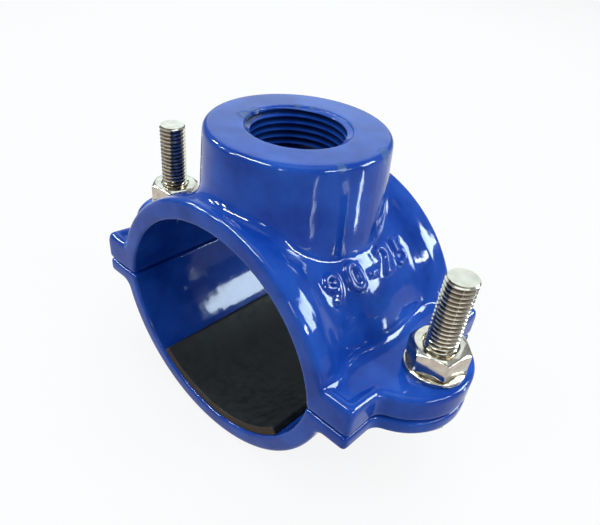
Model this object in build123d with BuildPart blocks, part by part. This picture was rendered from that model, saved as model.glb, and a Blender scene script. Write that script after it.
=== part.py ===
"""Tapping saddle for a 90 mm water pipe, with a 1 inch threaded outlet and two M10 clamp bolts.

Frame: millimetres, +Z up through the outlet, +Y along the pipe.  The origin is on the axis of the
pipe seat of the upper casting, half-way along it.
"""
import os
from math import cos, hypot, radians, sqrt, tan

from build123d import *

os.makedirs("parts", exist_ok=True)

# ---------------------------------------------------------------- pipe seat and joint between halves
pipe_diameter = 90.0
saddle_length = 72.0
joint_height = 5.0            # middle of the joint gap, above the axis of the upper seat
joint_gap = 0.9
strap_seat_height = 11.2      # axis of the lower seat: the halves are drawn together with no pipe in

# ---------------------------------------------------------------- upper casting
saddle_rim_wall = 7.0
saddle_valley_wall = 4.9
saddle_belly_wall = 5.6
rim_band = 5.0                # width of the raised rim along the pipe
valley_inset = 12.0           # lowest line of the valley, from the end face
saddle_ear_thickness = 9.3
saddle_root_radius = 5.0      # between the shell and the ears
saddle_edge_radius = 1.8
joint_edge_radius = 1.0
bore_edge_radius = 0.8

# ---------------------------------------------------------------- ears, alike on both castings
bolt_spacing = 130.0
ear_rail_width = 9.0          # straight rail along the whole length of the joint, past the upper rim
ear_tip_margin = 12.0         # from the bolt's centre to the end of its round lobe
ear_lobe_radius = 22.5
ear_rail_corner_radius = 1.5
ear_hollow_radius = 4.5       # between the rail and the lobe
saddle_bolt_hole_diameter = 11.5

# ---------------------------------------------------------------- outlet boss
outlet_height = 70.0          # top of the boss, above the pipe axis
boss_diameter = 59.0
boss_draft = 3.0              # degrees
boss_foot_radius = 3.4
boss_top_radius = 2.0
outlet_thread_diameter = 33.25
outlet_thread_depth = 21.0
outlet_chamfer = 1.2
waterway_diameter = 27.0

# ---------------------------------------------------------------- outlet seal, in a seat in the crown
seal_diameter = 46.0
seal_seat_depth = 3.0
seal_proud = 1.2              # how far it stands into the bore
seal_side_clearance = 0.2
seal_bore_diameter = 29.0

# ---------------------------------------------------------------- lower casting
strap_rim_wall = 6.5
strap_valley_wall = 4.6
strap_belly_wall = 4.9
strap_ear_thickness = 5.6
strap_root_radius = 4.0
strap_edge_radius = 1.5
strap_bolt_hole_diameter = 11.0
gusset_thickness = 4.0
gusset_drop = 17.0            # height of a gusset where it meets the shell
gusset_toe = 2.5              # height of a gusset at its outer end
gusset_inset = 12.0           # outer end, from the tip of the lobe
head_clearance = 0.3          # between a gusset and a flat of the bolt head

# ---------------------------------------------------------------- liner of the lower casting
liner_thickness = 3.0
liner_half_angle = 44.0       # degrees each side of its own middle
liner_turn = 4.0              # degrees, how far round to the right it lies in its seat
liner_end_inset = 0.8
liner_edge_chamfer = 0.6

# ---------------------------------------------------------------- M10 bolts, nuts and washers
thread_diameter = 10.0
bolt_length = 50.0
bolt_tip_chamfer = 1.0
hex_across_flats = 17.0
hex_land_diameter = 16.2      # flat circle left by the corner chamfers
hex_chamfer_angle = 30.0      # degrees
head_height = 6.4
nut_height = 8.0
nut_running_clearance = 0.05
nut_countersink = 0.7
washer_diameter = 20.0
washer_hole_diameter = 10.5
washer_thickness = 2.0
washer_edge_radius = 0.3
right_nut_turn = 17.0         # degrees, where each nut has come to rest
left_nut_turn = 8.0

# ---------------------------------------------------------------- values worked out from the above
seat_radius = pipe_diameter / 2
half_length = saddle_length / 2
saddle_joint_z = joint_height + joint_gap / 2
strap_joint_z = joint_height - joint_gap / 2
ear_top_z = saddle_joint_z + saddle_ear_thickness
strap_ear_bottom_z = strap_joint_z - strap_ear_thickness
bolt_x = bolt_spacing / 2
ear_rail_reach = seat_radius + saddle_rim_wall + ear_rail_width
ear_tip_reach = bolt_x + ear_tip_margin
thread_radius = thread_diameter / 2
lobe_centre_x = ear_tip_reach - ear_lobe_radius
seal_seat_radius = seat_radius + seal_seat_depth
overrun = 10.0                # how far cutting tools run past what they cut
tiny = 0.01


def shell_profile(rim_radius, valley_radius, belly_radius):
    """Half section of a casting's outside: a raised rim at each end, a valley, and a low belly."""
    band_y = half_length - rim_band
    valley_y = half_length - valley_inset
    with BuildSketch(Plane.XY) as section:
        with BuildLine():
            Polyline((0, -half_length), (rim_radius, -half_length), (rim_radius, -band_y))
            Spline(
                (rim_radius, -band_y),
                (valley_radius, -valley_y),
                (belly_radius, 0),
                (valley_radius, valley_y),
                (rim_radius, band_y),
                tangents=((0, 1), (0, 1)),
            )
            Line((rim_radius, band_y), (rim_radius, half_length))
            Polyline((rim_radius, half_length), (0, half_length), (0, -half_length))
        make_face()
    return section.sketch


def ear_outline(height):
    """Plan of the joint flange: a straight rail along the pipe with a round lobe at each bolt."""
    with BuildSketch(Plane.XY.offset(height)) as plan:
        Rectangle(2 * ear_rail_reach, saddle_length)
        fillet(plan.vertices(), ear_rail_corner_radius)
        with Locations((lobe_centre_x, 0), (-lobe_centre_x, 0)):
            Circle(ear_lobe_radius)
        hollows = plan.vertices().filter_by(
            lambda v: abs(abs(v.X) - ear_rail_reach) < tiny and abs(v.Y) < ear_lobe_radius
        )
        fillet(hollows, ear_hollow_radius)
    return plan.sketch


def half_casting(seat_z, joint_z, ear_thickness, walls, root_radius, edge_radius, upward):
    """Solid blank of one casting: half a barrel with its two ears, rounded, before it is bored."""
    side = 1 if upward else -1
    rim_wall, valley_wall, belly_wall = walls
    with BuildPart() as blank:
        with BuildSketch(Plane.XY.offset(seat_z)):
            add(shell_profile(seat_radius + rim_wall, seat_radius + valley_wall, seat_radius + belly_wall))
        revolve(axis=Axis((0, 0, seat_z), (0, 1, 0)), revolution_arc=360)
        split(bisect_by=Plane.XY.offset(joint_z), keep=Keep.TOP if upward else Keep.BOTTOM)
        extrude(ear_outline(joint_z), amount=side * ear_thickness)

        ear_face_z = joint_z + side * ear_thickness
        ear_faces = blank.faces().filter_by(Axis.Z).filter_by_position(
            Axis.Z, ear_face_z - tiny, ear_face_z + tiny
        )
        roots = ear_faces.edges().filter_by(lambda e: abs(e.center().X) < ear_rail_reach - rim_wall)
        roots = roots.filter_by(lambda e: abs(abs(e.center().Y) - half_length) > tiny)
        fillet(roots, root_radius)

        outline = outer_edges(blank, joint_z, side)
        fillet(outline, edge_radius)
        joint_face = blank.faces().sort_by(Axis.Z)[0 if upward else -1]
        fillet(joint_face.outer_wire().edges(), joint_edge_radius)
    return blank.part


def outer_edges(blank, joint_z, side):
    """The closed line round a blank, over both end faces and along the outer edge of both ears."""
    on_end = blank.edges().filter_by(lambda e: abs(abs(e.center().Y) - half_length) < tiny)
    on_end = on_end.filter_by(lambda e: side * (e.center().Z - joint_z) > joint_edge_radius)
    arches = on_end.filter_by(lambda e: e.length > joint_edge_radius and not is_upright(e))
    ear_faces = blank.faces().filter_by(Plane.XY)
    ear_faces = ear_faces.filter_by(lambda f: side * (f.center().Z - joint_z) > joint_edge_radius)
    shell_side = ear_rail_reach - 2 * ear_rail_corner_radius
    rails = ear_faces.edges().filter_by(lambda e: abs(e.center().X) > shell_side)
    return ShapeList(set(arches) | set(rails))


def is_upright(edge):
    """Whether an edge runs straight up."""
    return edge.geom_type == GeomType.LINE and abs(edge.tangent_at(0).Z) > 1 - tiny


def pipe_cylinder(seat_z, radius):
    """Round bar along the pipe, long enough to cut right through a casting."""
    with BuildPart() as bar:
        with BuildSketch(Plane.XZ):
            with Locations((0, seat_z)):
                Circle(radius)
        extrude(amount=half_length + overrun, both=True)
    return bar.part


def bored(blank, seat_z):
    """A blank with the pipe seat cut through it, by a cutter that flares to round the end edges."""
    edge_y = half_length - bore_edge_radius
    mouth_radius = seat_radius + bore_edge_radius
    outer_y = half_length + overrun
    with BuildPart() as casting:
        add(blank)
        with BuildSketch(Plane.XY.offset(seat_z)):
            with BuildLine():
                Polyline(
                    (mouth_radius, -half_length),
                    (mouth_radius, -outer_y),
                    (0, -outer_y),
                    (0, outer_y),
                    (mouth_radius, outer_y),
                    (mouth_radius, half_length),
                )
                CenterArc((mouth_radius, edge_y), bore_edge_radius, 90, 90)
                Line((seat_radius, edge_y), (seat_radius, -edge_y))
                CenterArc((mouth_radius, -edge_y), bore_edge_radius, 180, 90)
            make_face()
        revolve(axis=Axis((0, 0, seat_z), (0, 1, 0)), revolution_arc=360, mode=Mode.SUBTRACT)
    return casting.part


def crown_ring(outer_diameter, inner_diameter, inner_radius):
    """Ring round the outlet, curved to the pipe: its outside follows the floor of the seal's seat."""
    with BuildPart() as ring:
        with BuildSketch(Plane.XY):
            Circle(outer_diameter / 2)
            if inner_diameter > 0:
                Circle(inner_diameter / 2, mode=Mode.SUBTRACT)
        extrude(amount=seal_seat_radius + overrun)
        add(pipe_cylinder(0, seal_seat_radius), mode=Mode.INTERSECT)
        if inner_radius > 0:
            add(pipe_cylinder(0, inner_radius), mode=Mode.SUBTRACT)
    return ring.part


# ---------------------------------------------------------------- saddle body
saddle_blank = half_casting(
    seat_z=0,
    joint_z=saddle_joint_z,
    ear_thickness=saddle_ear_thickness,
    walls=(saddle_rim_wall, saddle_valley_wall, saddle_belly_wall),
    root_radius=saddle_root_radius,
    edge_radius=saddle_edge_radius,
    upward=True,
)

with BuildPart() as bossed_blank:
    add(saddle_blank)
    with BuildSketch(Plane.XY.offset(outlet_height)):
        Circle(boss_diameter / 2)
    extrude(amount=ear_top_z - outlet_height, taper=-boss_draft)
    foot = bossed_blank.edges(Select.NEW).filter_by(lambda e: e.center().Z > ear_top_z + saddle_root_radius)
    fillet(foot, boss_foot_radius)
    fillet(bossed_blank.faces().sort_by(Axis.Z)[-1].outer_wire().edges(), boss_top_radius)

with BuildPart() as saddle_body:
    add(bored(bossed_blank.part, 0))
    add(crown_ring(seal_diameter, 0, 0), mode=Mode.SUBTRACT)
    with Locations((0, 0, outlet_height)):
        Hole(radius=waterway_diameter / 2, depth=outlet_height)
        Hole(radius=outlet_thread_diameter / 2, depth=outlet_thread_depth)
    mouth = saddle_body.faces().sort_by(Axis.Z)[-1].inner_wires()[0]
    chamfer(mouth.edges(), outlet_chamfer)
    with Locations((-bolt_x, 0, ear_top_z), (bolt_x, 0, ear_top_z)):
        Hole(radius=saddle_bolt_hole_diameter / 2, depth=saddle_ear_thickness)
saddle_body.part.label = "saddle_body"
export_step(saddle_body.part, "parts/saddle_body.step")


# ---------------------------------------------------------------- outlet seal
with BuildPart() as outlet_seal:
    add(crown_ring(seal_diameter - 2 * seal_side_clearance, seal_bore_diameter, seat_radius - seal_proud))
outlet_seal.part.label = "outlet_seal"
export_step(outlet_seal.part, "parts/outlet_seal.step")


# ---------------------------------------------------------------- strap
strap_blank = half_casting(
    seat_z=strap_seat_height,
    joint_z=strap_joint_z,
    ear_thickness=strap_ear_thickness,
    walls=(strap_rim_wall, strap_valley_wall, strap_belly_wall),
    root_radius=strap_root_radius,
    edge_radius=strap_edge_radius,
    upward=False,
)

with BuildPart() as braced_blank:
    # two gussets each side carry the ear and keep the bolt head from turning
    add(strap_blank)
    toe_x = ear_tip_reach - gusset_inset
    heel_z = strap_ear_bottom_z - gusset_drop
    heel_x = sqrt(seat_radius**2 - (strap_seat_height - heel_z) ** 2)
    gusset_y = hex_across_flats / 2 + head_clearance + gusset_thickness / 2
    for y in (-gusset_y, gusset_y):
        with BuildSketch(Plane.XZ.offset(y)):
            with BuildLine():
                Polyline(
                    (0, strap_joint_z - joint_edge_radius),
                    (toe_x, strap_joint_z - joint_edge_radius),
                    (toe_x, strap_ear_bottom_z - gusset_toe),
                    (heel_x, heel_z),
                    (0, heel_z),
                    close=True,
                )
            make_face()
            mirror(about=Plane.YZ)
        extrude(amount=gusset_thickness / 2, both=True)

with BuildPart() as strap:
    add(bored(braced_blank.part, strap_seat_height))
    with Locations((-bolt_x, 0, strap_joint_z), (bolt_x, 0, strap_joint_z)):
        Hole(radius=strap_bolt_hole_diameter / 2, depth=strap_ear_thickness)
strap.part.label = "strap"
export_step(strap.part, "parts/strap.step")


# ---------------------------------------------------------------- strap liner
with BuildPart() as strap_liner:
    with BuildSketch(Plane.XZ):
        with BuildLine():
            first_angle = 270 + liner_turn - liner_half_angle
            centre = (0, strap_seat_height)
            back = CenterArc(centre, seat_radius, first_angle, 2 * liner_half_angle)
            face = CenterArc(centre, seat_radius - liner_thickness, first_angle, 2 * liner_half_angle)
            Line(back @ 0, face @ 0)
            Line(back @ 1, face @ 1)
        make_face()
    extrude(amount=half_length - liner_end_inset, both=True)
    inner_edges = strap_liner.edges().filter_by(Axis.Y).filter_by(
        lambda e: hypot(e.center().X, e.center().Z - strap_seat_height) < seat_radius - tiny
    )
    chamfer(inner_edges, liner_edge_chamfer)
strap_liner.part.label = "strap_liner"
export_step(strap_liner.part, "parts/strap_liner.step")


# ---------------------------------------------------------------- bolts, nuts and washers
def turned_corners(height, chamfer_top, chamfer_bottom):
    """Round blank that a hexagon is cut from: it leaves the chamfers on the hexagon's corners."""
    corner_radius = hex_across_flats / 2 / cos(radians(hex_chamfer_angle))
    land_radius = hex_land_diameter / 2
    drop = (corner_radius - land_radius) * tan(radians(hex_chamfer_angle))
    with BuildPart() as blank:
        Cylinder(corner_radius, height, align=(Align.CENTER, Align.CENTER, Align.MIN))
        rounds = blank.edges().filter_by(GeomType.CIRCLE).sort_by(Axis.Z)
        if chamfer_top:
            chamfer(rounds[-1], drop, corner_radius - land_radius)
        if chamfer_bottom:
            chamfer(rounds[0], drop, corner_radius - land_radius)
    return blank.part


def hexagon(height, chamfer_top, turn):
    """Hexagon standing on Z = 0, with chamfered corners below and, for a nut, above as well."""
    with BuildPart() as hexagon_part:
        with BuildSketch():
            RegularPolygon(hex_across_flats / 2, 6, major_radius=False, rotation=turn)
        extrude(amount=height)
        add(turned_corners(height, chamfer_top, True), mode=Mode.INTERSECT)
    return hexagon_part.part


def clamp_bolt(x):
    """Bolt from below: head against the strap's ear, thread up through both ears."""
    with BuildPart() as bolt:
        with Locations((x, 0, strap_ear_bottom_z - head_height)):
            add(hexagon(head_height, False, 0))
        with Locations((x, 0, strap_ear_bottom_z)):
            Cylinder(thread_radius, bolt_length, align=(Align.CENTER, Align.CENTER, Align.MIN))
        chamfer(bolt.edges().filter_by(GeomType.CIRCLE).sort_by(Axis.Z)[-1], bolt_tip_chamfer)
    return bolt.part


def washer(x):
    """Plain washer on the upper ear."""
    with BuildPart() as ring:
        with Locations((x, 0, ear_top_z)):
            Cylinder(washer_diameter / 2, washer_thickness, align=(Align.CENTER, Align.CENTER, Align.MIN))
        with Locations((x, 0, ear_top_z + washer_thickness)):
            Hole(washer_hole_diameter / 2, depth=washer_thickness)
        rounds = ring.edges().filter_by(GeomType.CIRCLE)
        fillet(rounds.filter_by(lambda e: e.radius > washer_hole_diameter / 2), washer_edge_radius)
    return ring.part


def nut(x, turn):
    """Hexagon nut on the washer, bored to clear the bolt by the running clearance."""
    bore_radius = thread_radius + nut_running_clearance
    with BuildPart() as hex_nut:
        with Locations((x, 0, ear_top_z + washer_thickness)):
            add(hexagon(nut_height, True, turn))
        with Locations((x, 0, ear_top_z + washer_thickness + nut_height)):
            Hole(bore_radius, depth=nut_height)
        rounds = hex_nut.edges().filter_by(GeomType.CIRCLE)
        chamfer(rounds.filter_by(lambda e: abs(e.radius - bore_radius) < tiny), nut_countersink)
    return hex_nut.part


for side, x, turn in (("left", -bolt_x, left_nut_turn), ("right", bolt_x, right_nut_turn)):
    for name, piece in (("bolt", clamp_bolt(x)), ("washer", washer(x)), ("nut", nut(x, turn))):
        piece.label = f"{name}_{side}"
        export_step(piece, f"parts/{name}_{side}.step")
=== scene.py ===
"""Tapping saddle: the finish of every piece, the threads, the cast numerals and a plain studio.

Laid out as a Blender add-on and run as a script.  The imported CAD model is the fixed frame: what is
built here takes its place and its sizes from the CAD nodes.  Lengths in this file are in metres.
"""
import math
from contextlib import contextmanager

import bmesh
import bpy
import numpy
from bpy.props import (
    FloatProperty, FloatVectorProperty, IntProperty, PointerProperty, StringProperty)
from mathutils import Matrix, Vector
from mathutils.bvhtree import BVHTree


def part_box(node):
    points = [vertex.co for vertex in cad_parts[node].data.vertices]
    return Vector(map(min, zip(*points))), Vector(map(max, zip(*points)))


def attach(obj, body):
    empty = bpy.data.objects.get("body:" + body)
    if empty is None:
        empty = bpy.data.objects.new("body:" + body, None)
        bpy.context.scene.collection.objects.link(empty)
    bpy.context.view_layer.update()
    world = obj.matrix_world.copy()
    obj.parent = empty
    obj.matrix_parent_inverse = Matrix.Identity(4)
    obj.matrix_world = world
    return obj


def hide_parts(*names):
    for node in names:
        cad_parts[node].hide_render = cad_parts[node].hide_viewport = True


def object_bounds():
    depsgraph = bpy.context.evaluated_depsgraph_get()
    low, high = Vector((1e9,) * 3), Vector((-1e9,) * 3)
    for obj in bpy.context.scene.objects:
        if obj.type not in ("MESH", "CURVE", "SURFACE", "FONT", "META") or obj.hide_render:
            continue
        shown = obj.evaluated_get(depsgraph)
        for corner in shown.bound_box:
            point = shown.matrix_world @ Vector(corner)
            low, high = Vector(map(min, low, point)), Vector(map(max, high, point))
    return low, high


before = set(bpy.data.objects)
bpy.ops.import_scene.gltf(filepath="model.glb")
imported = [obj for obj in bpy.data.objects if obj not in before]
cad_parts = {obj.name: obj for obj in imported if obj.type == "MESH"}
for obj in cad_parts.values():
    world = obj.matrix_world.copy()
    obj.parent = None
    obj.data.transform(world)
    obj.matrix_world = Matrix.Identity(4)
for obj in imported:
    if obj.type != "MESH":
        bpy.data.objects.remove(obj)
CAD_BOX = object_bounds()

bl_info = {
    "name": "Tapping Saddle",
    "version": (1, 0, 0),
    "blender": (4, 5, 0),
    "location": "View3D > Sidebar > Saddle",
    "description": "Coats, threads and lights a packed tapping saddle",
    "category": "Object",
}

MM = 0.001
TURN = 2 * math.pi


# ---------------------------------------------------------------- fixed sizes

# meshes
WELD = 0.001 * MM  # points nearer than this become one
FINE_WELD = 0.0005 * MM  # the same where a thread or a bevel leaves very short edges
FLAT_ANGLE = math.radians(1)  # faces that turn less than this are joined before a bevel
BEVEL_ANGLE = math.radians(28)  # edges that turn more than this are broken
STEEL_CREASE = math.radians(35)  # edges that turn more than this are shaded sharp
THREAD_CREASE = math.radians(30)
MELT_FACTOR = 0.5  # how far each step of flow pulls the skin together
BEVEL_SEGMENTS = 2
BAR_SIDES = 16

# bolts, as the CAD has them, and how their threads start and end
BOLT_RADIUS = 5 * MM
BOLT_HEAD = 6.4 * MM
HEAD_CUT = 0.02 * MM  # the shank is cut off this far under the head's upper face
THREAD_SUNK = 1.0 * MM  # the thread starts this far inside the head
THREAD_INSET = 0.1 * MM  # its first turn is this much thinner than the root
TIP_SLOPE = 2.5  # how fast the last turn fills up toward the tip

# one turn of a V thread, in parts of its pitch: the root ends, the crest starts, the crest ends
ROOT_END, CREST_START, CREST_END = 0.22, 0.5475, 0.6725

# the outlet's sleeve
SLEEVE_BACK = 0.7 * MM  # how far its back is sunk in the boss
SLEEVE_DROP = 0.3 * MM  # how far its top lies under the boss's top
TOP_SLOPE, FOOT_SLOPE = 5, 2  # how fast its turns run out at the top and the foot
MOUTH_MARGIN = 0.1 * MM  # how far past the CAD chamfer its points are looked for
OUTLET_FACETS = 2  # its turns have this many times the facets of a bolt's

# numerals
CAP_HEIGHT = 0.70  # height of a numeral in parts of the font's size
LETTER_SPACE = 1.30
NUMERAL_DEPTH = 2.0 * MM  # half the depth of the block of text before it is bent
NUMERAL_EDGE_STEPS = 4
NUMERAL_CURVE_STEPS = 6

# lips on the ears of the upper casting
LIP_START = 47 * MM  # where a lip leaves the end rim, along X
LIP_CORNER = 61 * MM  # the ear's outer corner, along X
LIP_END = 21 * MM  # where a lip ends toward the lobe, along Y
LIP_SINK = 0.8  # how much of its height it loses on the way there

# coat: sizes of its patterns, its specular level and how a smear and a chip differ
POOL_SIZE = 14 * MM
SPECK_SIZE = 0.7 * MM
SMEAR_SIZE = 5 * MM
WAVE_SIZE = 9 * MM
PEEL_SIZE = 2.2 * MM
COAT_SPECULAR = 0.16
SMEAR_LEAST, SMEAR_MOST = 0.8, 1.6  # roughness of the smears, in parts of the coat's
CHIP_RAG, RAG_STRENGTH = 0.6 * MM, 1.5  # size of the rags of a chip's edge, and how far they go
CHIP_DEPTH = 0.10 * MM
CHIP_ROUGHNESS = 0.6

# steel: sizes of its patterns, its roughness where it is smooth and where it is not
CLOUD_SIZE = 3 * MM
POLISH_SIZE = 1.5 * MM
MARK_SIZE, MARK_HEIGHT = 0.8 * MM, 0.008 * MM
STEEL_SMOOTH, STEEL_ROUGH = 0.09, 0.19

# rubber: the same, and its specular level
DUST_SIZE = 6 * MM
RUB_SIZE = 3 * MM
DENT_SIZE, DENT_HEIGHT = 7 * MM, 0.10 * MM
GRAIN_SIZE, GRAIN_HEIGHT = 0.45 * MM, 0.04 * MM
RUBBER_SMOOTH, RUBBER_ROUGH = 0.50, 0.72
RUBBER_SPECULAR = 0.12

# places of wear and of painted shade in the materials
SHADE_START = 1.0 * MM  # the painted shade in the outlet's roots starts this far under the top
SHADE_MARGIN = 0.02 * MM  # and this far past their own radius
BRIGHT_TIP = 0.4 * MM  # painted shade in a bolt's thread stops this far short of its tip, which stays bright
CUT_END = 0.5 * MM  # how far the rubber's cut ends reach in
CUT_TINT = 0.8  # how far they take on their own colour

# chipped places of the coat round the outlet's boss: place and reach
CHIPS = (
    ((-0.0158, -0.0075, 0.0694), 3.2 * MM),
    ((-0.0172, -0.0020, 0.0698), 2.0 * MM),
    ((0.0282, 0.0075, 0.0690), 3.0 * MM),
    ((0.0263, -0.0110, 0.0693), 1.8 * MM),
    ((-0.0120, 0.0125, 0.0697), 1.4 * MM),
    ((-0.0085, 0.0150, 0.0697), 1.2 * MM),
)

# studio
FLOOR_REACH = 6.0
FLOOR_ROUGHNESS = 0.7
SENSOR_WIDTH = 36.0
CLIP_START = 0.005
LAMP_TARGET = (0, 0, 0.02)
WHITE = (1.0, 1.0, 1.0)
SKY = (0.77, 0.95, 1.0)
LAMPS = (
    # name, place, size, brightness of its face, colour, and what it gives: light, its mirror
    # image in what shines, or both
    ("ceiling", (0.05, 0.05, 1.00), (0.70, 0.60), 2.0, SKY, "both"),
    ("back_panel", (-0.50, 0.62, 0.50), (0.80, 0.60), 1.35, SKY, "both"),
    ("right_key", (0.75, 0.20, 0.30), (0.60, 0.50), 3.0, WHITE, "light"),
    ("front_fill", (-0.40, -0.70, 0.45), (0.50, 0.50), 3.4, WHITE, "light"),
    ("window", (0.526, 0.545, 0.386), (0.30, 0.28), 45.0, SKY, "mirrored"),
    ("side_window", (0.750, 0.060, 0.400), (0.50, 0.060), 110.0, SKY, "mirrored"),
    ("left_window_1", (-0.77, -0.16, 0.50), (0.08, 0.16), 100.0, SKY, "mirrored"),
    ("left_window_2", (-0.68, -0.39, 0.50), (0.08, 0.16), 100.0, SKY, "mirrored"),
    ("left_window_3", (-0.53, -0.58, 0.50), (0.08, 0.16), 100.0, SKY, "mirrored"),
    ("front_window", (0.40, -0.82, 0.36), (0.10, 0.16), 50.0, SKY, "mirrored"),
    ("front_tube", (-0.22, -0.45, 0.72), (0.60, 0.08), 140.0, SKY, "mirrored"),
    ("right_strip", (0.180, 0.110, -0.015), (0.007, 0.050), 40.0, SKY, "mirrored"),
    ("near_strip", (0.200, -0.090, -0.015), (0.004, 0.050), 26.0, SKY, "mirrored"),
)


# ---------------------------------------------------------------- settings

class CoatSettings(bpy.types.PropertyGroup):
    """The blue epoxy coat and the castings under it."""
    blue: FloatVectorProperty(
        name="Blue", description="Colour of the coat", subtype="COLOR", size=3, min=0, max=1,
        default=(0.017, 0.094, 0.510))
    deep_blue: FloatVectorProperty(
        name="Deep blue", description="Colour where the coat lies thick", subtype="COLOR", size=3,
        min=0, max=1, default=(0.007, 0.054, 0.370))
    speck: FloatVectorProperty(
        name="Speck", description="Colour of the fine pale specks in the coat", subtype="COLOR",
        size=3, min=0, max=1, default=(0.035, 0.13, 0.58))
    chip: FloatVectorProperty(
        name="Chip", description="Colour where the coat is chipped", subtype="COLOR", size=3, min=0,
        max=1, default=(0.070, 0.150, 0.300))
    # painted shade: the colour laid into the roots of the outlet's thread
    shade: FloatVectorProperty(
        name="Shade", description="Colour of the roots of the outlet's thread", subtype="COLOR",
        size=3, min=0, max=1, default=(0.004, 0.010, 0.045))
    roughness: FloatProperty(
        name="Roughness", description="Roughness of the coat", default=0.075, min=0, max=1,
        subtype="FACTOR")
    peel: FloatProperty(
        name="Orange peel", description="Height of the coat's fine ripple", default=0.020 * MM,
        unit="LENGTH")
    wave: FloatProperty(
        name="Casting wave", description="Height of the casting's slow waves", default=0.16 * MM,
        unit="LENGTH")
    grain: FloatProperty(
        name="Skin grain", description="Size of the facets of the coated skin", default=0.55 * MM,
        unit="LENGTH")
    flow: IntProperty(
        name="Flow", description="How far the coat runs over edges", default=5, min=0)
    lip_width: FloatProperty(
        name="Lip width", description="Raised lip round the outer corners of the upper ears",
        default=4.4 * MM, unit="LENGTH")
    lip_height: FloatProperty(
        name="Lip height", description="How far that lip stands up", default=1.5 * MM,
        unit="LENGTH")


class ThreadSettings(bpy.types.PropertyGroup):
    """Threads of the bolts and of the outlet."""
    bolt_pitch: FloatProperty(
        name="Bolt pitch", description="Distance between turns of a bolt", default=1.5 * MM,
        unit="LENGTH")
    bolt_depth: FloatProperty(
        name="Bolt thread depth", description="Crest to root of a bolt's thread", default=0.92 * MM,
        unit="LENGTH")
    bolt_end: FloatProperty(
        name="Bolt end chamfer", description="Chamfer at the tip of a bolt", default=0.45 * MM,
        unit="LENGTH")
    outlet_pitch: FloatProperty(
        name="Outlet pitch", description="Distance between turns of the outlet", default=2.309 * MM,
        unit="LENGTH")
    outlet_depth: FloatProperty(
        name="Outlet thread depth", description="Crest to root of the outlet's thread",
        default=1.479 * MM, unit="LENGTH")
    outlet_length: FloatProperty(
        name="Outlet thread length", description="From the top of the boss down", default=21 * MM,
        unit="LENGTH")
    outlet_chamfer: FloatProperty(
        name="Outlet chamfer", description="Chamfer at the outlet's mouth", default=1.2 * MM,
        unit="LENGTH")
    outlet_mouth: FloatProperty(
        name="Outlet mouth", description="How far the coat's edge stands back from the thread",
        default=0.15 * MM, unit="LENGTH")
    outlet_radius: FloatProperty(
        name="Outlet radius", description="Radius of the outlet's wall", default=16.625 * MM,
        unit="LENGTH")
    facets: IntProperty(
        name="Facets", description="Facets in one turn of a bolt", default=56, min=12)


class NumeralSettings(bpy.types.PropertyGroup):
    """Plain numerals cast on the flank: pipe size and bore of the outlet in millimetres."""
    text: StringProperty(
        name="Numerals", description="Plain sizes in millimetres", default="90-25")
    height: FloatProperty(
        name="Height", description="Height of a numeral", default=9.5 * MM, unit="LENGTH")
    stroke: FloatProperty(
        name="Stroke", description="How much each stroke is widened before its edges are rounded",
        default=-0.45 * MM, unit="LENGTH")
    softness: FloatProperty(
        name="Softness", description="Rounding of a numeral's edges", default=0.80 * MM,
        unit="LENGTH")
    relief: FloatProperty(
        name="Relief", description="How far a numeral stands off the casting", default=1.6 * MM,
        unit="LENGTH")
    down: FloatProperty(
        name="Down from the crown", description="Angle of the line's middle",
        default=math.radians(45), subtype="ANGLE")
    shell_radius: FloatProperty(
        name="Shell radius", description="Outside radius of the barrel under the numerals",
        default=50.4 * MM, unit="LENGTH")


class SteelSettings(bpy.types.PropertyGroup):
    """Bolts, nuts and washers."""
    dark: FloatVectorProperty(
        name="Dark", description="Colour of the steel where it is duller", subtype="COLOR", size=3,
        min=0, max=1, default=(0.44, 0.39, 0.325))
    bright: FloatVectorProperty(
        name="Bright", description="Colour of the steel where it is brighter", subtype="COLOR",
        size=3, min=0, max=1, default=(0.58, 0.52, 0.44))
    # painted shade: the colour laid into the roots of a bolt's thread
    grime: FloatVectorProperty(
        name="Grime", description="Colour of the roots of a bolt's thread", subtype="COLOR", size=3,
        min=0, max=1, default=(0.045, 0.032, 0.024))
    head_edge: FloatProperty(
        name="Head edge", description="Width of the broken edges of a bolt's head",
        default=0.2 * MM, unit="LENGTH")
    nut_edge: FloatProperty(
        name="Nut edge", description="Width of the broken edges of a nut", default=0.16 * MM,
        unit="LENGTH")
    washer_edge: FloatProperty(
        name="Washer edge", description="Width of the broken edges of a washer", default=0.1 * MM,
        unit="LENGTH")


class RubberSettings(bpy.types.PropertyGroup):
    """Liner and seal."""
    black: FloatVectorProperty(
        name="Black", description="Colour of the rubber", subtype="COLOR", size=3, min=0, max=1,
        default=(0.006, 0.006, 0.006))
    bloom: FloatVectorProperty(
        name="Bloom", description="Colour of the dusty bloom on it", subtype="COLOR", size=3, min=0,
        max=1, default=(0.018, 0.017, 0.017))
    cut: FloatVectorProperty(
        name="Cut", description="Colour of its cut ends", subtype="COLOR", size=3, min=0, max=1,
        default=(0.060, 0.034, 0.018))
    grain: FloatProperty(
        name="Grain", description="Size of the facets of the rubber's skin", default=0.4 * MM,
        unit="LENGTH")
    flow: IntProperty(name="Flow", description="Rounding of its edges", default=2, min=0)


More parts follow.
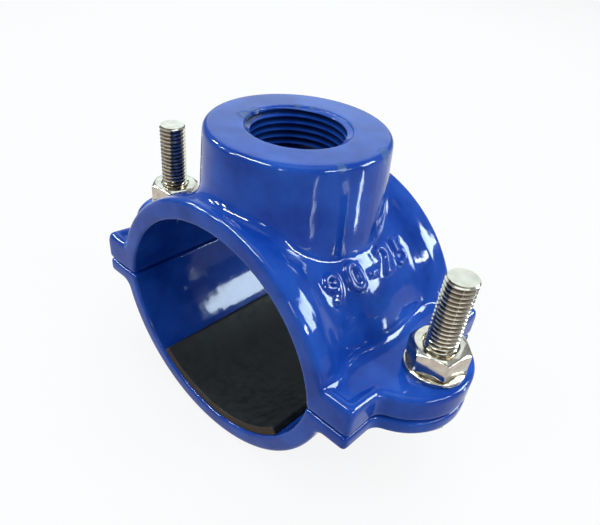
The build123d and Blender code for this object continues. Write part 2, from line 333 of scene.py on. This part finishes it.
class StudioSettings(bpy.types.PropertyGroup):
    """Camera, floor and the light from all round."""
    eye: FloatVectorProperty(
        name="Eye", description="Place of the camera", subtype="TRANSLATION", size=3,
        unit="LENGTH", default=(0.1127, -0.1290, 0.1359))
    turn: FloatProperty(
        name="Turn", description="Camera's turn about Z", default=math.radians(39.85),
        subtype="ANGLE")
    tilt: FloatProperty(
        name="Tilt", description="Camera's tilt below level", default=math.radians(39.70),
        subtype="ANGLE")
    roll: FloatProperty(
        name="Roll", description="Camera's roll", default=math.radians(6.25), subtype="ANGLE")
    lens: FloatProperty(
        name="Lens", description="Focal length on a 36 mm wide sensor, in millimetres",
        default=33.98)
    shift: FloatVectorProperty(
        name="Shift", description="Shift of the lens, in widths of the picture", size=2,
        default=(0.0155, 0.0905))
    floor: FloatVectorProperty(
        name="Floor", description="Colour of the floor where it is looked at", subtype="COLOR",
        size=3, min=0, max=1, default=(0.92, 0.92, 0.92))
    bounce: FloatVectorProperty(
        name="Bounce", description="Colour that the floor throws up at the saddle", subtype="COLOR",
        size=3, min=0, max=1, default=(0.32, 0.31, 0.30))
    whiteness: FloatProperty(
        name="Whiteness", description="How far the floor is lifted to white where it is seen",
        default=0.86, min=0, max=1, subtype="FACTOR")
    sky: FloatVectorProperty(
        name="Sky", description="Colour of the light from all round", subtype="COLOR", size=3,
        min=0, max=1, default=(0.84, 0.94, 1.0))
    zenith: FloatProperty(
        name="Zenith", description="Strength of the light from straight above", default=0.45,
        min=0)
    haze: FloatProperty(
        name="Haze", description="Strength of the light from half-way up", default=0.50, min=0)
    horizon: FloatProperty(
        name="Horizon", description="Strength of the light from the sides", default=0.33, min=0)


class SaddleSettings(bpy.types.PropertyGroup):
    """All settings of the saddle."""
    coat: PointerProperty(type=CoatSettings)
    threads: PointerProperty(type=ThreadSettings)
    numerals: PointerProperty(type=NumeralSettings)
    steel: PointerProperty(type=SteelSettings)
    rubber: PointerProperty(type=RubberSettings)
    studio: PointerProperty(type=StudioSettings)


def settings():
    """The scene's saddle settings."""
    return bpy.context.scene.tapping_saddle


# ---------------------------------------------------------------- material helpers

def new_material(name):
    """An empty node material: itself, its tree, its shader and the place on the object."""
    material = bpy.data.materials.new(name)
    material.use_nodes = True
    tree = material.node_tree
    tree.nodes.clear()
    output = tree.nodes.new("ShaderNodeOutputMaterial")
    shader = tree.nodes.new("ShaderNodeBsdfPrincipled")
    tree.links.new(shader.outputs["BSDF"], output.inputs["Surface"])
    where = tree.nodes.new("ShaderNodeTexCoord").outputs["Object"]
    return material, tree, shader, where


def put(tree, value, socket):
    """Sets a socket to a number or a colour, or links another socket to it."""
    if isinstance(value, bpy.types.NodeSocket):
        tree.links.new(value, socket)
    elif socket.type == "RGBA":
        socket.default_value = (*value, 1)
    else:
        socket.default_value = value


def add_noise(tree, where, size, detail=2.0, rough=0.5):
    """Noise whose spots are about size metres across."""
    node = tree.nodes.new("ShaderNodeTexNoise")
    node.inputs["Scale"].default_value = 1.0 / size
    node.inputs["Detail"].default_value = detail
    node.inputs["Roughness"].default_value = rough
    tree.links.new(where, node.inputs["Vector"])
    return node.outputs["Fac"]


def add_ramp(tree, value, *stops):
    """Colour ramp through (position, grey or colour) stops."""
    node = tree.nodes.new("ShaderNodeValToRGB")
    ramp = node.color_ramp
    while len(ramp.elements) < len(stops):
        ramp.elements.new(0.5)
    for element, (position, tone) in zip(ramp.elements, stops):
        element.position = position
        grey = isinstance(tone, (int, float))
        element.color = (tone, tone, tone, 1) if grey else (*tone, 1)
    tree.links.new(value, node.inputs["Fac"])
    return node.outputs["Color"]


def add_mix(tree, amount, first, second):
    """Blend of two colours, given as sockets or as plain colours."""
    node = tree.nodes.new("ShaderNodeMix")
    node.data_type = "RGBA"
    for name, value in (("Factor", amount), ("A", first), ("B", second)):
        put(tree, value, [s for s in node.inputs if s.name == name and s.enabled][0])
    return [s for s in node.outputs if s.enabled][0]


def add_math(tree, operation, first, second=0.0):
    """One arithmetic step on sockets or plain numbers."""
    node = tree.nodes.new("ShaderNodeMath")
    node.operation = operation
    put(tree, first, node.inputs[0])
    put(tree, second, node.inputs[1])
    return node.outputs[0]


def add_parts(tree, where):
    """The x, y and z of a vector."""
    node = tree.nodes.new("ShaderNodeSeparateXYZ")
    tree.links.new(where, node.inputs[0])
    return node.outputs


def add_radius(tree, x, y):
    """Distance from an axis, from the two distances across it."""
    squares = [add_math(tree, "MULTIPLY", side, side) for side in (x, y)]
    return add_math(tree, "POWER", add_math(tree, "ADD", *squares), 0.5)


def add_between(tree, value, low, high):
    """1 where a value lies between two bounds, 0 elsewhere."""
    return add_math(tree, "MULTIPLY", add_math(tree, "LESS_THAN", value, high),
                    add_math(tree, "GREATER_THAN", value, low))


def add_nearness(tree, where, place, reach):
    """1 at a place on the object, falling to 0 at the given reach from it."""
    node = tree.nodes.new("ShaderNodeVectorMath")
    node.operation = "DISTANCE"
    tree.links.new(where, node.inputs[0])
    node.inputs[1].default_value = place
    away = add_math(tree, "DIVIDE", node.outputs["Value"], reach)
    return add_math(tree, "SUBTRACT", 1.0, away)


def add_bump(tree, height, distance, below=None):
    """Bump of the given height in metres, laid over another bump where there is one."""
    node = tree.nodes.new("ShaderNodeBump")
    node.inputs["Strength"].default_value = 1.0
    node.inputs["Distance"].default_value = distance
    tree.links.new(height, node.inputs["Height"])
    if below is not None:
        tree.links.new(below, node.inputs["Normal"])
    return node.outputs["Normal"]


# ---------------------------------------------------------------- materials

def add_chips(tree, where):
    """How far the coat is chipped: ragged spots at the places in CHIPS."""
    chips = None
    for place, reach in CHIPS:
        near = add_nearness(tree, where, place, reach)
        rag = add_math(tree, "MULTIPLY", add_noise(tree, where, CHIP_RAG, 4, 0.7), RAG_STRENGTH)
        spot = add_ramp(tree, add_math(tree, "ADD", near, rag), (0.90, 0.0), (1.0, 0.55))
        chips = spot if chips is None else add_math(tree, "MAXIMUM", chips, spot)
    return chips


def add_outlet_shade(tree, where):
    """Painted shade in the outlet's thread: how deep a point lies in that thread, and 0 outside of
    it.
    """
    threads = settings().threads
    parts = add_parts(tree, where)
    aside = add_radius(tree, parts["X"], parts["Y"])
    crest = threads.outlet_radius - threads.outlet_depth
    sunk = add_math(tree, "DIVIDE", add_math(tree, "SUBTRACT", aside, crest), threads.outlet_depth)
    top_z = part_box("saddle_body")[1][2]
    below = add_between(tree, parts["Z"], top_z - threads.outlet_length, top_z - SHADE_START)
    inside = add_math(tree, "LESS_THAN", aside, threads.outlet_radius + SHADE_MARGIN)
    within = add_math(tree, "MULTIPLY", inside, below)
    return add_math(tree, "MULTIPLY", add_ramp(tree, sunk, (0.1, 0.0), (0.8, 0.9)), within)


def blue_epoxy():
    """Glossy fused epoxy over cast iron: pooled, faintly rippled and chipped in places, with painted
    shade in the roots of the outlet's thread.
    """
    coat = settings().coat
    material, tree, shader, where = new_material("saddle_blue_epoxy")
    pooled = add_ramp(tree, add_noise(tree, where, POOL_SIZE, 3), (0.38, 0.0), (0.62, 1.0))
    tone = add_mix(tree, pooled, tuple(coat.deep_blue), tuple(coat.blue))
    specks = add_ramp(tree, add_noise(tree, where, SPECK_SIZE, 2), (0.70, 0.0), (0.78, 0.35))
    tone = add_mix(tree, specks, tone, tuple(coat.speck))
    chips = add_chips(tree, where)
    tone = add_mix(tree, chips, tone, tuple(coat.chip))
    # painted shade darkens the roots of the outlet's thread
    tone = add_mix(tree, add_outlet_shade(tree, where), tone, tuple(coat.shade))
    tree.links.new(tone, shader.inputs["Base Color"])

    low, high = coat.roughness * SMEAR_LEAST, coat.roughness * SMEAR_MOST
    smears = add_ramp(tree, add_noise(tree, where, SMEAR_SIZE, 4, 0.6), (0.35, low), (0.75, high))
    rough = add_math(tree, "MAXIMUM", smears, add_math(tree, "MULTIPLY", chips, CHIP_ROUGHNESS))
    tree.links.new(rough, shader.inputs["Roughness"])
    shader.inputs["Specular IOR Level"].default_value = COAT_SPECULAR
    slow = add_bump(tree, add_noise(tree, where, WAVE_SIZE, 1), coat.wave)
    fine = add_bump(tree, add_noise(tree, where, PEEL_SIZE, 2), coat.peel, slow)
    tree.links.new(add_bump(tree, chips, -CHIP_DEPTH, fine), shader.inputs["Normal"])
    return material


def stainless_steel():
    """Bright rolled stainless steel, with painted shade in the roots of the bolts' threads."""
    steel = settings().steel
    material, tree, shader, where = new_material("saddle_stainless_steel")
    cloud = add_noise(tree, where, CLOUD_SIZE, 3)
    tone = add_ramp(tree, cloud, (0.3, tuple(steel.dark)), (0.7, tuple(steel.bright)))
    # painted shade: the bolts' thread roots darken with their depth, along the shank between head
    # and tip
    parts = add_parts(tree, where)
    low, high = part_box("bolt_right")
    axis_x = (low[0] + high[0]) / 2
    aside = add_math(tree, "SUBTRACT", add_math(tree, "ABSOLUTE", parts["X"]), axis_x)
    under = add_math(tree, "SUBTRACT", BOLT_RADIUS, add_radius(tree, aside, parts["Y"]))
    depth = add_math(tree, "DIVIDE", under, settings().threads.bolt_depth)
    shank = add_between(tree, parts["Z"], low[2] + BOLT_HEAD, high[2] - BRIGHT_TIP)
    grime = add_math(tree, "MULTIPLY", add_ramp(tree, depth, (0.2, 0.0), (0.9, 0.65)), shank)
    tree.links.new(add_mix(tree, grime, tone, tuple(steel.grime)), shader.inputs["Base Color"])
    shader.inputs["Metallic"].default_value = 1.0
    polish = add_noise(tree, where, POLISH_SIZE, 3)
    rough = add_ramp(tree, polish, (0.3, STEEL_SMOOTH), (0.7, STEEL_ROUGH))
    tree.links.new(rough, shader.inputs["Roughness"])
    marks = add_bump(tree, add_noise(tree, where, MARK_SIZE, 2), MARK_HEIGHT)
    tree.links.new(marks, shader.inputs["Normal"])
    return material


def black_rubber():
    """Matt black rubber with a dusty bloom, browner on its cut ends."""
    rubber = settings().rubber
    material, tree, shader, where = new_material("saddle_black_rubber")
    dust = add_noise(tree, where, DUST_SIZE, 5, 0.65)
    bloom = add_ramp(tree, dust, (0.35, tuple(rubber.black)), (0.8, tuple(rubber.bloom)))
    along = add_math(tree, "ABSOLUTE", add_parts(tree, where)["Y"])
    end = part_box("strap_liner")[1][1]
    at_end = add_math(tree, "GREATER_THAN", along, end - CUT_END)
    cut = add_math(tree, "MULTIPLY", at_end, CUT_TINT)
    tree.links.new(add_mix(tree, cut, bloom, tuple(rubber.cut)), shader.inputs["Base Color"])
    rub = add_noise(tree, where, RUB_SIZE, 3)
    rough = add_ramp(tree, rub, (0.3, RUBBER_SMOOTH), (0.7, RUBBER_ROUGH))
    tree.links.new(rough, shader.inputs["Roughness"])
    shader.inputs["Specular IOR Level"].default_value = RUBBER_SPECULAR
    dents = add_bump(tree, add_noise(tree, where, DENT_SIZE, 2), DENT_HEIGHT)
    grain = add_bump(tree, add_noise(tree, where, GRAIN_SIZE, 3), GRAIN_HEIGHT, dents)
    tree.links.new(grain, shader.inputs["Normal"])
    return material


def dress(obj, maker):
    """Gives a piece its finish, made once and found again by its name."""
    obj.data.materials.clear()
    obj.data.materials.append(bpy.data.materials.get("saddle_" + maker.__name__) or maker())


# ---------------------------------------------------------------- mesh helpers

@contextmanager
def edited(mesh):
    """A mesh opened for editing; what is done to it goes back into the mesh."""
    work = bmesh.new()
    work.from_mesh(mesh)
    yield work
    work.to_mesh(mesh)
    work.free()


def link_mesh(name, mesh):
    """A new object in the scene for a mesh."""
    obj = bpy.data.objects.new(name, mesh)
    bpy.context.scene.collection.objects.link(obj)
    return obj


def applied(obj):
    """The object's mesh with its modifiers applied; the object itself is removed."""
    graph = bpy.context.evaluated_depsgraph_get()
    mesh = bpy.data.meshes.new_from_object(obj.evaluated_get(graph))
    bpy.data.objects.remove(obj)
    return mesh


def node_mesh(node):
    """A copy of a CAD node's mesh, welded and without its material."""
    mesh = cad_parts[node].data.copy()
    mesh.materials.clear()
    with edited(mesh) as work:
        bmesh.ops.remove_doubles(work, verts=work.verts, dist=WELD)
    return mesh


def joined(name, meshes):
    """One mesh from several."""
    whole = bmesh.new()
    for mesh in meshes:
        whole.from_mesh(mesh)
    mesh = bpy.data.meshes.new(name)
    whole.to_mesh(mesh)
    whole.free()
    return mesh


def melted(name, meshes, grain, flow, box):
    """Overlapping closed meshes melted into one soft skin, kept inside a box."""
    blank = link_mesh(name + "_blank", joined(name + "_blank", meshes))
    remesh = blank.modifiers.new("melt", "REMESH")
    remesh.mode = "VOXEL"
    remesh.voxel_size = grain
    remesh.use_smooth_shade = True
    smooth = blank.modifiers.new("flow", "SMOOTH")
    smooth.factor = MELT_FACTOR
    smooth.iterations = flow
    skin = applied(blank)
    places = numpy.empty(len(skin.vertices) * 3)
    skin.vertices.foreach_get("co", places)
    places = numpy.clip(places.reshape(-1, 3), box[0], box[1])
    skin.vertices.foreach_set("co", places.ravel())
    skin.name = name
    return skin


def round_bar(start, end, radius):
    """Round bar between two points, with half-round ends."""
    work = bmesh.new()
    start, end = Vector(start), Vector(end)
    along = end - start
    turned = along.to_track_quat("Z", "Y").to_matrix().to_4x4()
    middle = Matrix.Translation((start + end) / 2)
    bmesh.ops.create_cone(
        work, cap_ends=True, segments=BAR_SIDES, radius1=radius, radius2=radius,
        depth=along.length, matrix=middle @ turned)
    for place in (start, end):
        bmesh.ops.create_uvsphere(
            work, u_segments=BAR_SIDES, v_segments=BAR_SIDES // 2, radius=radius,
            matrix=Matrix.Translation(place))
    mesh = bpy.data.meshes.new("bar")
    work.to_mesh(mesh)
    work.free()
    return mesh


def softened(name, mesh, width):
    """A machined piece with its sharp edges broken."""
    with edited(mesh) as work:
        bmesh.ops.dissolve_limit(
            work, angle_limit=FLAT_ANGLE, verts=work.verts, edges=work.edges)
    blank = link_mesh(name + "_blank", mesh)
    bevel = blank.modifiers.new("edges", "BEVEL")
    bevel.width = width
    bevel.segments = BEVEL_SEGMENTS
    bevel.limit_method = "ANGLE"
    bevel.angle_limit = BEVEL_ANGLE
    made = applied(blank)
    with edited(made) as work:
        bmesh.ops.remove_doubles(work, verts=work.verts, dist=FINE_WELD)
        bmesh.ops.dissolve_degenerate(work, edges=work.edges, dist=FINE_WELD)
    made.shade_smooth()
    made.set_sharp_from_angle(angle=STEEL_CREASE)
    return link_mesh(name, made)


def helical_rows(profile, pitch, bottom, top, trim, facets):
    """Wall of a thread, in rows that climb one pitch a turn and are squeezed flat at both ends.

    profile holds (part of a pitch, radius) corners, and trim(radius, z) shapes the thread's ends
    so that every row has the same radius there.  Gives the mesh and its bottom and top rings.
    """
    rows = []
    turns = math.ceil((top - bottom) / pitch) + 2
    for turn in range(turns):
        for part, radius in profile:
            rows.append((bottom + (turn - 1 + part) * pitch, radius))
    wall = bmesh.new()
    grid = []
    for start, radius in rows:
        row = []
        for i in range(facets):
            z = min(max(start + pitch * i / facets, bottom), top)
            r = trim(radius, z)
            heading = TURN * i / facets
            row.append(wall.verts.new((r * math.cos(heading), r * math.sin(heading), z)))
        grid.append(row)
    last = len(grid) - 1
    for j in range(last):
        for i in range(facets):
            if i < facets - 1:
                corners = (grid[j][i], grid[j][i + 1], grid[j + 1][i + 1], grid[j + 1][i])
            else:
                low, high = min(j + len(profile), last), min(j + 1 + len(profile), last)
                corners = (grid[j][i], grid[low][0], grid[high][0], grid[j + 1][i])
            if len(set(corners)) == 4:
                wall.faces.new(corners)
    return wall, grid[0], grid[last]


def finished_shell(name, shell):
    """Welds the squeezed rows of a thread, clears what they leave, and makes a mesh of it."""
    bmesh.ops.remove_doubles(shell, verts=shell.verts, dist=FINE_WELD)
    bmesh.ops.dissolve_degenerate(shell, edges=shell.edges, dist=FINE_WELD)
    bmesh.ops.recalc_face_normals(shell, faces=shell.faces)
    mesh = bpy.data.meshes.new(name)
    shell.to_mesh(mesh)
    shell.free()
    mesh.shade_smooth()
    mesh.set_sharp_from_angle(angle=THREAD_CREASE)
    return mesh


def v_profile(root, crest):
    """Corners of one turn of a V thread: flat root, flank, narrow flat crest, flank."""
    return (0.0, root), (ROOT_END, root), (CREST_START, crest), (CREST_END, crest)


# ---------------------------------------------------------------- threads and numerals

def bolt_thread(node):
    """Full-length thread of a bolt, closed at both ends, and the height of its head's face."""
    threads = settings().threads
    low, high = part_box(node)
    crest = BOLT_RADIUS
    root = crest - threads.bolt_depth
    end = crest - threads.bolt_end
    tip = high[2]
    under_head = low[2] + BOLT_HEAD
    start = under_head - THREAD_SUNK

    def trim(radius, z):
        at_tip = max(min(radius, end + (tip - z)), end - TIP_SLOPE * (tip - z))
        return min(at_tip, root - THREAD_INSET + (z - start))

    shell, bottom, top = helical_rows(
        v_profile(root, crest), threads.bolt_pitch, start, tip, trim, threads.facets)
    shell.faces.new(bottom)
    shell.faces.new(top)
    mesh = finished_shell(node + "_thread", shell)
    mesh.transform(Matrix.Translation(((low[0] + high[0]) / 2, 0, 0)))
    return mesh, under_head


def bolt_head(node, under_head):
    """The CAD bolt's hexagon head alone, closed where its shank was cut off."""
    mesh = node_mesh(node)
    with edited(mesh) as head:
        bmesh.ops.bisect_plane(
            head, geom=head.verts[:] + head.edges[:] + head.faces[:],
            plane_co=(0, 0, under_head - HEAD_CUT), plane_no=(0, 0, 1), clear_outer=True)
        bmesh.ops.holes_fill(head, edges=[e for e in head.edges if e.is_boundary])
        bmesh.ops.recalc_face_normals(head, faces=head.faces)
    return mesh


def square_mouth(mesh):
    """Fills the outlet's chamfer with the coat, whose edge drops straight to the thread."""
    threads = settings().threads
    top_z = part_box("saddle_body")[1][2]
    mouth = threads.outlet_radius + threads.outlet_mouth
    for vertex in mesh.vertices:
        x, y, z = vertex.co
        radius = math.hypot(x, y)
        inside = radius < threads.outlet_radius + threads.outlet_chamfer + MOUTH_MARGIN
        if inside and top_z - z < threads.outlet_chamfer + MOUTH_MARGIN:
            vertex.co = (x * mouth / radius, y * mouth / radius, z)


def outlet_thread():
    """Thread of the outlet: a sleeve sunk in the boss, whose turns stand into the hole."""
    threads = settings().threads
    top_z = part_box("saddle_body")[1][2]
    back = threads.outlet_radius + threads.outlet_mouth + SLEEVE_BACK
    root = threads.outlet_radius
    crest = threads.outlet_radius - threads.outlet_depth
    bottom = top_z - threads.outlet_length - SLEEVE_DROP
    top = top_z - SLEEVE_DROP

    def trim(radius, z):
        run_out = max(radius, back - TOP_SLOPE * (top - z), back - FOOT_SLOPE * (z - bottom))
        return min(run_out, back)

    shell, low_ring, high_ring = helical_rows(
        v_profile(root, crest), threads.outlet_pitch, bottom, top, trim,
        threads.facets * OUTLET_FACETS)
    count = len(low_ring)
    for i in range(count):
        following = (i + 1) % count
        shell.faces.new((low_ring[i], low_ring[following], high_ring[following], high_ring[i]))
    return finished_shell("outlet_thread", shell)


def cast_numerals(casting):
    """Plain numerals bent round the right flank of the barrel, their tops toward the crown."""
    numerals = settings().numerals
    curve = bpy.data.curves.new("numerals", "FONT")
    curve.body = numerals.text
    curve.size = numerals.height / CAP_HEIGHT
    curve.align_x = "CENTER"
    curve.align_y = "CENTER"
    curve.space_character = LETTER_SPACE
    curve.offset = numerals.stroke
    curve.extrude = NUMERAL_DEPTH
    curve.bevel_depth = numerals.softness
    curve.bevel_resolution = NUMERAL_EDGE_STEPS
    face = curve.extrude + curve.bevel_depth
    curve.resolution_u = NUMERAL_CURVE_STEPS
    holder = bpy.data.objects.new("numerals", curve)
    bpy.context.scene.collection.objects.link(holder)
    mesh = applied(holder)
    outside = BVHTree.FromPolygons(
        [v.co for v in casting.vertices], [tuple(p.vertices) for p in casting.polygons])
    for vertex in mesh.vertices:
        along, up, out = vertex.co
        down = numerals.down - up / numerals.shell_radius
        outward = Vector((math.sin(down), 0, math.cos(down)))
        start = outward * 2 * numerals.shell_radius + Vector((0, along, 0))
        surface = outside.ray_cast(start, -outward)[0]
        rise = numerals.relief - (face - out) if out > 0 else -numerals.relief
        vertex.co = surface + outward * rise
    with edited(mesh) as work:
        bmesh.ops.remove_doubles(work, verts=work.verts, dist=WELD)
        bmesh.ops.recalc_face_normals(work, faces=work.faces)
    return mesh


def ear_lips():
    """Raised lips that carry the end rims on round the outer corners of the upper ears."""
    coat = settings().coat
    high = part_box("saddle_body")[1]
    radius = coat.lip_width / 2
    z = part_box("washer_right")[0][2] + coat.lip_height - radius
    y = high[1] - radius
    corner = LIP_CORNER - radius
    lips = []
    for side in (-1, 1):
        for end in (-1, 1):
            turn = (side * corner, end * y, z)
            stop = (side * corner, end * LIP_END, z - LIP_SINK * coat.lip_height)
            lips.append(round_bar((side * LIP_START, end * y, z), turn, radius))
            lips.append(round_bar(turn, stop, radius))
    return lips


# ---------------------------------------------------------------- operators

class SADDLE_OT_body(bpy.types.Operator):
    """Coats the upper casting, with its cast numerals and the thread in its outlet"""
    bl_idname = "saddle.body"
    bl_label = "Upper casting"

    def execute(self, context):
        coat = settings().coat
        solid = node_mesh("saddle_body")
        square_mouth(solid)
        solids = [solid, cast_numerals(solid), *ear_lips()]
        skin = melted("saddle_skin", solids, coat.grain, coat.flow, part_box("saddle_body"))
        casting = link_mesh("saddle_casting", joined("saddle_casting", [skin, outlet_thread()]))
        dress(casting, blue_epoxy)
        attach(casting, "saddle")
        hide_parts("saddle_body")
        return {"FINISHED"}


class SADDLE_OT_strap(bpy.types.Operator):
    """Coats the lower casting"""
    bl_idname = "saddle.strap"
    bl_label = "Lower casting"

    def execute(self, context):
        coat = settings().coat
        skin = melted(
            "strap_casting", [node_mesh("strap")], coat.grain, coat.flow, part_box("strap"))
        casting = link_mesh("strap_casting", skin)
        dress(casting, blue_epoxy)
        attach(casting, "strap")
        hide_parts("strap")
        return {"FINISHED"}


class SADDLE_OT_rubber(bpy.types.Operator):
    """Moulds the liner and the seal"""
    bl_idname = "saddle.rubber"
    bl_label = "Liner and seal"

    def execute(self, context):
        rubber = settings().rubber
        for node, body in (("strap_liner", "strap"), ("outlet_seal", "saddle")):
            name = node + "_rubber"
            skin = melted(name, [node_mesh(node)], rubber.grain, rubber.flow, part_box(node))
            piece = link_mesh(name, skin)
            dress(piece, black_rubber)
            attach(piece, body)
            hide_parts(node)
        return {"FINISHED"}


class SADDLE_OT_hardware(bpy.types.Operator):
    """Threads the bolts and breaks the edges of nuts and washers"""
    bl_idname = "saddle.hardware"
    bl_label = "Bolts, nuts and washers"

    def execute(self, context):
        steel = settings().steel
        for side in ("left", "right"):
            bolt_node, nut_node, washer_node = "bolt_" + side, "nut_" + side, "washer_" + side
            thread, under_head = bolt_thread(bolt_node)
            head = softened(
                bolt_node + "_head", bolt_head(bolt_node, under_head), steel.head_edge)
            whole = joined(bolt_node + "_steel", [thread, head.data])
            bpy.data.objects.remove(head)
            bolt = link_mesh(bolt_node + "_steel", whole)
            nut = softened(nut_node + "_steel", node_mesh(nut_node), steel.nut_edge)
            washer = softened(
                washer_node + "_steel", node_mesh(washer_node), steel.washer_edge)
            for piece, node, body in (
                    (bolt, bolt_node, "strap"),
                    (nut, nut_node, nut_node),
                    (washer, washer_node, "saddle")):
                dress(piece, stainless_steel)
                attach(piece, body)
                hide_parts(node)
        return {"FINISHED"}


def add_lamp(name, place, size, brightness, tint, gives):
    """A rectangular lamp that faces the saddle; its face is equally bright at any size."""
    data = bpy.data.lights.new(name, "AREA")
    data.shape = "RECTANGLE"
    data.size, data.size_y = size
    data.energy = brightness * math.pi * size[0] * size[1]
    data.color = tint
    lamp = bpy.data.objects.new(name, data)
    lamp.location = place
    toward = Vector(LAMP_TARGET) - Vector(place)
    lamp.rotation_euler = toward.to_track_quat("-Z", "Y").to_euler()
    lamp.visible_camera = False
    lamp.visible_diffuse = gives != "mirrored"
    lamp.visible_glossy = gives != "light"
    bpy.context.scene.collection.objects.link(lamp)


def add_floor():
    """Pale floor under the strap, lifted toward white where it is only looked at.

    It goes down with the strap, so that the strap is never cut off by it.
    """
    studio = settings().studio
    floor_z = CAD_BOX[0][2]
    mesh = bpy.data.meshes.new("floor")
    sides = ((-1, -1), (1, -1), (1, 1), (-1, 1))
    corners = [(x * FLOOR_REACH, y * FLOOR_REACH, floor_z) for x, y in sides]
    mesh.from_pydata(corners, [], [(0, 1, 2, 3)])
    floor = link_mesh("floor", mesh)
    material, tree, shader, _ = new_material("floor_white")
    shader.inputs["Roughness"].default_value = FLOOR_ROUGHNESS
    shader.inputs["Specular IOR Level"].default_value = 0.0
    rays = tree.nodes.new("ShaderNodeLightPath").outputs
    seen = add_math(tree, "MAXIMUM", rays["Is Camera Ray"], rays["Is Glossy Ray"])
    seen = add_math(tree, "MAXIMUM", seen, rays["Is Transmission Ray"])
    pale = add_mix(tree, seen, tuple(studio.bounce), tuple(studio.floor))
    tree.links.new(pale, shader.inputs["Base Color"])
    white = tree.nodes.new("ShaderNodeEmission")
    mixer = tree.nodes.new("ShaderNodeMixShader")
    tree.links.new(add_math(tree, "MULTIPLY", seen, studio.whiteness), mixer.inputs["Fac"])
    tree.links.new(shader.outputs["BSDF"], mixer.inputs[1])
    tree.links.new(white.outputs["Emission"], mixer.inputs[2])
    output = next(node for node in tree.nodes if node.type == "OUTPUT_MATERIAL")
    tree.links.new(mixer.outputs["Shader"], output.inputs["Surface"])
    floor.data.materials.append(material)
    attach(floor, "strap")


def add_world():
    """Soft light that falls off from straight above down to the horizon."""
    studio = settings().studio
    world = bpy.data.worlds.new("studio")
    world.use_nodes = True
    tree = world.node_tree
    where = tree.nodes.new("ShaderNodeTexCoord").outputs["Generated"]
    height = add_parts(tree, where)["Z"]
    level = add_ramp(
        tree, height, (0.0, studio.horizon), (0.55, studio.haze), (0.95, studio.zenith))
    background = tree.nodes["Background"]
    background.inputs["Color"].default_value = (*studio.sky, 1)
    tree.links.new(level, background.inputs["Strength"])
    bpy.context.scene.world = world


def add_camera():
    """Camera at the studio settings' place."""
    studio = settings().studio
    data = bpy.data.cameras.new("camera")
    data.sensor_width = SENSOR_WIDTH
    data.lens = studio.lens
    data.shift_x, data.shift_y = studio.shift
    data.clip_start = CLIP_START
    camera = bpy.data.objects.new("camera", data)
    camera.matrix_world = (
        Matrix.Translation(studio.eye)
        @ Matrix.Rotation(studio.turn, 4, "Z")
        @ Matrix.Rotation(math.pi / 2 - studio.tilt, 4, "X")
        @ Matrix.Rotation(studio.roll, 4, "Z")
    )
    bpy.context.scene.collection.objects.link(camera)
    bpy.context.scene.camera = camera


class SADDLE_OT_studio(bpy.types.Operator):
    """Sets up the floor, the light and the camera"""
    bl_idname = "saddle.studio"
    bl_label = "Studio"

    def execute(self, context):
        add_floor()
        add_world()
        for lamp in LAMPS:
            add_lamp(*lamp)
        add_camera()
        context.scene.view_settings.view_transform = "Standard"
        return {"FINISHED"}


class SADDLE_PT_panel(bpy.types.Panel):
    """Lists the saddle's operators"""
    bl_idname = "SADDLE_PT_panel"
    bl_label = "Tapping Saddle"
    bl_space_type = "VIEW_3D"
    bl_region_type = "UI"
    bl_category = "Saddle"

    def draw(self, context):
        for step in STEPS:
            self.layout.operator(step)


STEPS = ("saddle.body", "saddle.strap", "saddle.rubber", "saddle.hardware", "saddle.studio")

CLASSES = (
    CoatSettings, ThreadSettings, NumeralSettings, SteelSettings, RubberSettings,
    StudioSettings, SaddleSettings,
    SADDLE_OT_body, SADDLE_OT_strap, SADDLE_OT_rubber, SADDLE_OT_hardware, SADDLE_OT_studio,
    SADDLE_PT_panel,
)


def register():
    """Registers every class and hangs the settings on the scene."""
    for cls in CLASSES:
        bpy.utils.register_class(cls)
    bpy.types.Scene.tapping_saddle = PointerProperty(type=SaddleSettings)


def unregister():
    """Takes it all out again."""
    del bpy.types.Scene.tapping_saddle
    for cls in reversed(CLASSES):
        bpy.utils.unregister_class(cls)


def main():
    """Runs every operator in order."""
    register()
    for step in STEPS:
        group, name = step.split(".")
        getattr(getattr(bpy.ops, group), name)()


if __name__ == "__main__":
    main()
